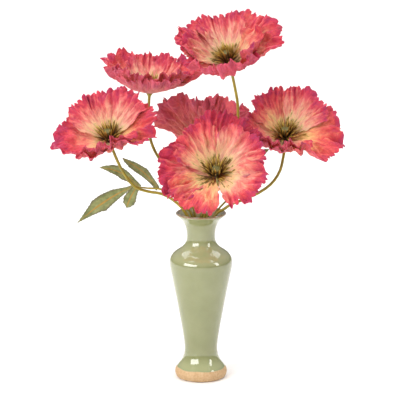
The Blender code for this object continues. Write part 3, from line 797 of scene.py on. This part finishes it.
podLook = {
    # height and radius in mm
    "outline": [
        (1.2, 0.9), (1.4, 2.0), (3.2, 2.9), (6.0, 3.8), (8.8, 4.1), (11.0, 3.7),
        (11.9, 3.0), (12.2, 3.8), (12.7, 4.2), (13.2, 4.0), (13.5, 2.9), (13.9, 1.0),
    ],
    "ribs": 11,
    "sides": 88,
}


def buildPod(name, axes):
    profile = smoothLine(podLook["outline"], 3)
    sides, rows = podLook["sides"], len(profile)
    turn = np.arange(sides) * 2 * math.pi / sides
    turnGrid, heightGrid = np.meshgrid(turn, profile[:, 0], indexing="ij")
    radiusGrid = np.broadcast_to(profile[:, 1], (sides, rows))
    ribs = np.cos(turnGrid * podLook["ribs"])
    cap = smoothstep(heightGrid, 11.9, 12.4)
    radiusGrid = radiusGrid * (1 + 0.045 * ribs + cap * 0.07 * ribs)
    heightGrid = heightGrid + cap * 0.28 * np.maximum(ribs, 0) ** 2
    points = toWorld(axes, radiusGrid, turnGrid, heightGrid).reshape(-1, 3)
    ends = toWorld(axes, np.zeros(2), np.zeros(2), np.array([profile[0, 0], profile[-1, 0] + 0.1]))
    points = np.vstack([points, ends])
    # up the pod the ramp runs dark at its foot among the stamens, a painted shade, to pale on its cap
    along = np.append(np.clip(heightGrid / 14 + 0.25 * cap, 0, 1).ravel(), [0, 1])
    # painted shade: the ribs' ridges are lighter and their grooves darker
    own = np.append(((1 + ribs) / 2).ravel(), [0, 0])
    attributes = {"along": along, "own": own}
    makePiece(name, points, turnedFaces(sides, rows), [podGreen], [name], attributes)


stemLook = {
    "radius": 1.6,
    "sides": 14,
    # radius of the ring that the stems stand in, and its height, at the vase's floor, belly and neck
    "ring": [(11.5, 8.7), (12.0, 80.0), (8.6, 161.0)],
    "wireEnd": 10.0,  # mm below the petals
    # the receptacle: height from the petals in mm, and its girth as a share of the wire's
    "receptacle": [
        (-8.5, 1.0), (-7.0, 1.05), (-5.8, 1.2), (-4.8, 1.5), (-4.0, 1.9), (-3.4, 2.15),
        (-2.9, 2.2), (-2.4, 1.95), (-1.6, 1.75), (-0.6, 1.8), (0.6, 1.85),
    ],
    "scallop": ([-5.0, -3.2, -2.2], [0.0, 0.10, 0.0]),  # heights, and how deep there
}

# Each stem: its angle in the ring inside the vase, and its route from the mouth to below the bloom, mm.
stems = {
    "front": (285, [(5.5, -8.0, 195.1), (10.9, -16.0, 208.4)]),
    "left": (240, [(-16.5, -5.5, 187.7), (-23.1, -7.0, 197.2), (-34.0, -9.0, 206.7),
                   (-44.9, -12.0, 212.5), (-58.0, -15.0, 215.5), (-69.9, -18.0, 220.2),
                   (-77.4, -20.0, 227.4), (-84.9, -22.0, 239.1), (-91.3, -24.0, 253.0)]),
    "top": (60, [(9.5, 7.5, 189.0), (18.7, 9.0, 217.0), (29.7, 12.0, 244.6), (38.4, 12.0, 272.8),
                 (40.5, 11.0, 295.4), (39.9, 10.0, 310.2), (37.1, 8.0, 326.2)]),
    "upper_left": (150, [(-7.7, 7.0, 190.2), (-18.8, 14.0, 201.0), (-32.1, 25.0, 218.8),
                         (-43.2, 34.0, 236.0), (-52.2, 41.0, 250.3), (-57.2, 47.0, 264.9),
                         (-59.1, 52.0, 280.9)]),
    "back": (105, [(2.5, 11.0, 189.0), (4.5, 20.0, 200.0), (5.0, 33.0, 216.9)]),
    "right": (330, [(15.8, -3.2, 185.5), (25.3, -3.0, 192.7), (34.1, -4.0, 198.7), (48.3, -6.0, 204.8),
                    (64.7, -8.0, 213.2), (77.7, -10.0, 223.9), (86.3, -9.0, 237.4), (90.0, -6.0, 252.5)]),
}


def ringRoute(angle, route):
    # up from the vase's floor on the ring, then along the route
    turn = math.radians(angle)
    return [*((r * math.cos(turn), r * math.sin(turn), z) for r, z in stemLook["ring"]), *route]


def buildTube(name, line, radii, sides, random, scallop=None):
    # a round wire on a line in mm, with a slowly turning frame, its skin a little uneven
    tangent = directions(line)
    normal = np.cross(tangent[0], [0.3, 1.0, 0.2])
    normal /= np.linalg.norm(normal)
    points, place = [], []
    travelled = np.append(0, np.cumsum(np.linalg.norm(np.diff(line, axis=0), axis=1)))
    for i in range(len(line)):
        normal = normal - tangent[i] * normal.dot(tangent[i])
        normal /= np.linalg.norm(normal)
        other = np.cross(tangent[i], normal)
        for c in range(sides):
            w = 2 * math.pi * c / sides
            ridge = 0.03 * math.sin(travelled[i] * 0.9 + 3 * w)
            r = radii[i] * (1 + ridge + random.uniform(-0.012, 0.012))
            if scallop is not None:
                r *= 1 + scallop[i] * math.cos(5 * w)
            points.append(line[i] + (normal * math.cos(w) + other * math.sin(w)) * r)
            place.append((math.cos(w) * radii[i], travelled[i], math.sin(w) * radii[i] + 10 * radii[0]))
    faces = tubeFaces(len(line), sides)
    makePiece(name, np.array(points) * mm, faces, [wireGreen], [name], {"stemPlace": place})


def buildStem(name, bloomName, axes, random):
    base, _, _, z = axes
    angle, route = stems[bloomName]
    below = base / mm - z * stemLook["wireEnd"]
    line = smoothLine([*ringRoute(angle, route), below], 8)
    drift = np.cumsum(random.normal(0, 0.018, line.shape), axis=0)
    line = line + drift * np.linspace(1, 0, len(line))[:, None]
    # the receptacle swells under the petals, ending in a scalloped collar
    heights, swell = np.array(stemLook["receptacle"]).T
    top = base / mm + z[None, :] * heights[:, None]
    radii = np.append(np.full(len(line), 1.0), swell) * stemLook["radius"]
    scallop = np.append(np.zeros(len(line)), np.interp(heights, *stemLook["scallop"]))
    buildTube(name, np.vstack([line, top]), radii, stemLook["sides"], random, scallop)


for bloomName, bloom in blooms.items():
    random = np.random.default_rng(bloom["seed"])
    axes = bloomAxes(bloom)
    bloomWaves = [waves(random, *petalLook[k]) for k in ("ruffles", "pleats", "pleatSwells")]
    for whorl, lowered in (("inner", 0), ("outer", 1)):
        for index in range(len(bloom[whorl])):
            name = f"{bloomName}_{whorl}_petal_{index + 1}"
            buildPetal(name, bloom, whorl, index, lowered, axes, bloomWaves, random)
    buildStamens(bloomName + "_stamens", axes, random)
    buildPod(bloomName + "_pod", axes)
    buildStem(bloomName + "_stem", bloomName, axes, random)
print("blooms made")


leafLook = {
    "thickness": 0.45,
    "rows": 72,
    "columns": 17,
    "fold": 0.20,  # how steeply a lobe rises from its midrib
    "stalkRadius": 1.1,
    "stalkTaper": ([0, 0.75, 1.0], [1.0, 1.0, 0.35]),
    "stalkSides": 12,
}

# A lobe's edge: shares of the way to the tip, and the share of the half width at each.
lobeEdges = {
    "shouldered": ([0, 0.12, 0.32, 0.50, 0.66, 0.685, 0.85, 1],
                   [0.10, 0.26, 0.82, 1.0, 0.96, 0.80, 0.36, 0.0]),
    "toothed": ([0, 0.2, 0.42, 0.555, 0.60, 0.74, 0.86, 1],
                [0.12, 0.42, 0.80, 1.02, 0.80, 0.50, 0.28, 0.0]),
    "blunt": ([0, 0.18, 0.36, 0.60, 0.78, 0.815, 0.93, 1],
              [0.55, 0.55, 0.74, 1.0, 0.92, 0.74, 0.46, 0.0]),
    "ragged": ([0, 0.2, 0.46, 0.70, 0.74, 0.86, 0.885, 1],
               [0.50, 0.60, 0.86, 1.0, 0.82, 0.80, 0.50, 0.0]),
    "slim": ([0, 0.25, 0.42, 0.47, 0.52, 0.75, 0.80, 1],
             [0.42, 0.62, 0.95, 1.0, 0.86, 0.60, 0.46, 0.0]),
}

# Each lobe: root, tip, half width in mm in the blade's plane, sideways bow, rise of its tip, and
# its edges right and left of the midrib.
leaves = {
    "left": {
        "seed": 5,
        "origin": (-45.0, -2.0, 215.1),
        "across": (1.0, 0.0, 0.0),
        "facing": (0.0, -0.970, 0.242),
        "ring": 195,
        "route": [(-10.5, -1.5, 186.2), (-19.8, -1.0, 195.6), (-31.9, -2.0, 209.2)],
        "midrib": [(0.0, 0.0), (-14.0, 1.0), (-25.3, 2.2), (-33.0, 1.6)],
        "lobes": [
            ((-25.0, 3.0), (-37.0, -20.5), 7.2, -1.0, -1.5, "ragged", "blunt"),
            ((-27.5, 4.4), (-91.0, -37.5), 9.0, -3.0, 3.0, "shouldered", "toothed"),
            ((-22.0, 1.0), (-66.5, 23.5), 6.2, -5.6, 2.0, "blunt", "slim"),
            ((-2.0, 0.5), (-41.0, 34.0), 5.6, -3.0, -2.0, "slim", "blunt"),
        ],
    },
    "right": {
        "seed": 8,
        "origin": (32.0, 10.0, 203.1),
        "across": (0.94, 0.28, 0.19),
        "facing": (0.20, -0.94, 0.27),
        "ring": 15,
        "route": [(15.0, 2.5, 184.6), (23.5, 6.5, 195.0)],
        "midrib": [(0.0, 0.0), (5.5, 10.5), (9.0, 20.0), (9.5, 36.0)],
        "lobes": [
            ((7.5, 16.0), (-25.0, 36.0), 7.0, 2.0, 2.0, "ragged", "blunt"),
            ((9.0, 20.0), (2.0, 96.0), 8.8, -3.0, -2.0, "toothed", "shouldered"),
            ((9.5, 21.0), (34.0, 81.0), 6.4, 2.0, 3.0, "ragged", "slim"),
            ((8.5, 15.0), (56.0, 40.0), 6.8, 2.0, 2.0, "slim", "blunt"),
        ],
    },
}


def leafAxes(leaf):
    z = Vector(leaf["facing"]).normalized()
    x = Vector(leaf["across"])
    x = (x - x.dot(z) * z).normalized()
    return np.array(leaf["origin"]), np.array(x), np.array(z.cross(x)), np.array(z)


def buildLeaf(side, leaf):
    random = np.random.default_rng(leaf["seed"])
    origin, x, y, z = leafAxes(leaf)
    rows, columns = leafLook["rows"], leafLook["columns"]
    share = np.linspace(0, 1, rows)
    across = np.linspace(-1, 1, columns)
    points, faces, attributes = [], [], {"leafPlace": [], "across": [], "along": []}
    for number, (root, tip, halfWidth, bow, rise, right, left) in enumerate(leaf["lobes"]):
        root, tip = np.array(root), np.array(tip)
        length = np.linalg.norm(tip - root)
        ahead = (tip - root) / length
        aside = np.array([-ahead[1], ahead[0]])
        bowed = aside * (bow * np.sin(math.pi * share))[:, None]
        spine = root + ahead * (length * share)[:, None] + bowed
        nibble = 0.03 * np.sin(share * length * 1.7 + number) * smoothstep(share, 0.1, 0.3)
        edges = [np.interp(share, *lobeEdges[edge]) + nibble for edge in (right, left)]
        body = np.where(across[None, :] < 0, edges[0][:, None], edges[1][:, None])
        reachOut = across[None, :] * np.maximum(body, 0.02) * halfWidth
        fold = leafLook["fold"] * np.abs(reachOut)
        wave = 0.5 * np.sin(share * 9 + number * 2)[:, None] * (np.abs(across) ** 2)[None, :]
        lift = fold + wave + (rise * share**2)[:, None] + 0.25 * (1 - np.abs(across))[None, :]
        flat = spine[:, None, :] + aside * reachOut[..., None]
        grid = origin + flat[..., :1] * x + flat[..., 1:] * y + lift[..., None] * z
        offset = len(points)
        points += list(grid.reshape(-1, 3))
        faces += gridFaces(rows, columns, offset)
        place = np.dstack([flat, np.full((rows, columns), number * 9.0)])
        attributes["leafPlace"] += list(place.reshape(-1, 3))
        attributes["across"] += list(np.tile(across, rows))
        attributes["along"] += list(np.repeat(share * length / 22, columns))
    name, points = side + "_leaf_blade", np.array(points) * mm
    blade = makePiece(name, points, faces, [leafCotton], [name], attributes)
    addSolidify(blade, leafLook["thickness"] * mm, 0)
    midrib = [origin + px * x + py * y - 0.3 * z for px, py in leaf["midrib"]]
    line = smoothLine([*ringRoute(leaf["ring"], leaf["route"]), *midrib], 8)
    radii = leafLook["stalkRadius"] * np.interp(np.linspace(0, 1, len(line)), *leafLook["stalkTaper"])
    buildTube(side + "_leaf_stalk", line, radii, leafLook["stalkSides"], random)


for side, leaf in leaves.items():
    buildLeaf(side, leaf)
print("leaves made")


studio = {
    "floor": [(0.3, "#EFEEEC"), (0.7, "#F6F5F3")],
    "floorSize": 12.0,
    "horizon": "#9C9C9A",
    "sky": "#FFFFFF",
    "worldStrength": 0.49,
    # where each softbox hangs, what it points at, its width and height in metres, and its watts
    "softboxes": {
        "ceilingSoftbox": ((0.0, 0.9, 3.6), (0.0, 0.9, 0.0), (5.5, 5.5), 215),
        "keySoftbox": ((-1.15, -1.25, 0.90), (0.0, 0.0, 0.22), (1.6, 0.8), 30),
        "sideSoftbox": ((1.55, -0.75, 0.95), (0.0, 0.0, 0.22), (0.45, 0.9), 8.5),
    },
}


def paleFloor():
    # Matt painted board: an even, faintly mottled white that takes a soft shadow.
    made = newMaterial("mattPaintedBoard")
    spot = addNode(made, "TexCoord").outputs["Object"]
    grain = addNode(made, "TexNoise", {"Vector": spot, "Scale": 60.0, "Detail": 3.0})
    colour = addNode(made, "ValToRGB", {"Fac": grain}, studio["floor"])
    shader = addNode(made, "BsdfPrincipled", {"Base Color": colour, "Roughness": 0.8})
    addNode(made, "OutputMaterial", {"Surface": shader})
    mesh = bpy.data.meshes.new("floor")
    half = studio["floorSize"] / 2
    corners = [(-half, -half, 0), (half, -half, 0), (half, half, 0), (-half, half, 0)]
    mesh.from_pydata(corners, [], [(0, 1, 2, 3)])
    mesh.materials.append(made)
    floor = addObject("floor", mesh)


paleFloor()

world = bpy.data.worlds.new("studioWorld")
bpy.context.scene.world = world
world.use_nodes = True
# a darker band of studio wall low down, which shows as bands in the glaze
direction = addNode(world, "TexCoord").outputs["Generated"]
upward = addNode(world, "SeparateXYZ", {"Vector": direction}).outputs["Z"]
wall = addNode(world, "ValToRGB", {"Fac": upward}, [(0.05, studio["horizon"]), (0.42, studio["sky"])])
background = world.node_tree.nodes["Background"]
world.node_tree.links.new(wall.outputs["Color"], background.inputs["Color"])
background.inputs["Strength"].default_value = studio["worldStrength"]


for name, (place, aim, size, power) in studio["softboxes"].items():
    lamp = bpy.data.lights.new(name, "AREA")
    lamp.shape = "RECTANGLE"
    lamp.size, lamp.size_y = size
    lamp.energy = power
    softbox = addObject(name, lamp)
    softbox.location = place
    softbox.rotation_euler = (Vector(aim) - Vector(place)).to_track_quat("-Z", "Y").to_euler()

cameraSetup = {
    "target": (-0.0011, 0.0, 0.2022),
    "distance": 3.0,
    "elevation": 14.0,
    "viewHeight": 0.44,
    "sensor": 36.0,
}
tilt = math.radians(cameraSetup["elevation"])
lens = bpy.data.cameras.new("camera")
lens.sensor_width = cameraSetup["sensor"]
lens.lens = cameraSetup["sensor"] * cameraSetup["distance"] / cameraSetup["viewHeight"]
lens.clip_end = 30.0
camera = addObject("camera", lens)
back = Vector((0.0, -math.cos(tilt), math.sin(tilt)))
camera.location = Vector(cameraSetup["target"]) + back * cameraSetup["distance"]
camera.rotation_euler = (math.pi / 2 - tilt, 0.0, 0.0)
bpy.context.scene.camera = camera
bpy.context.scene.view_settings.view_transform = "Standard"

print("scene made")
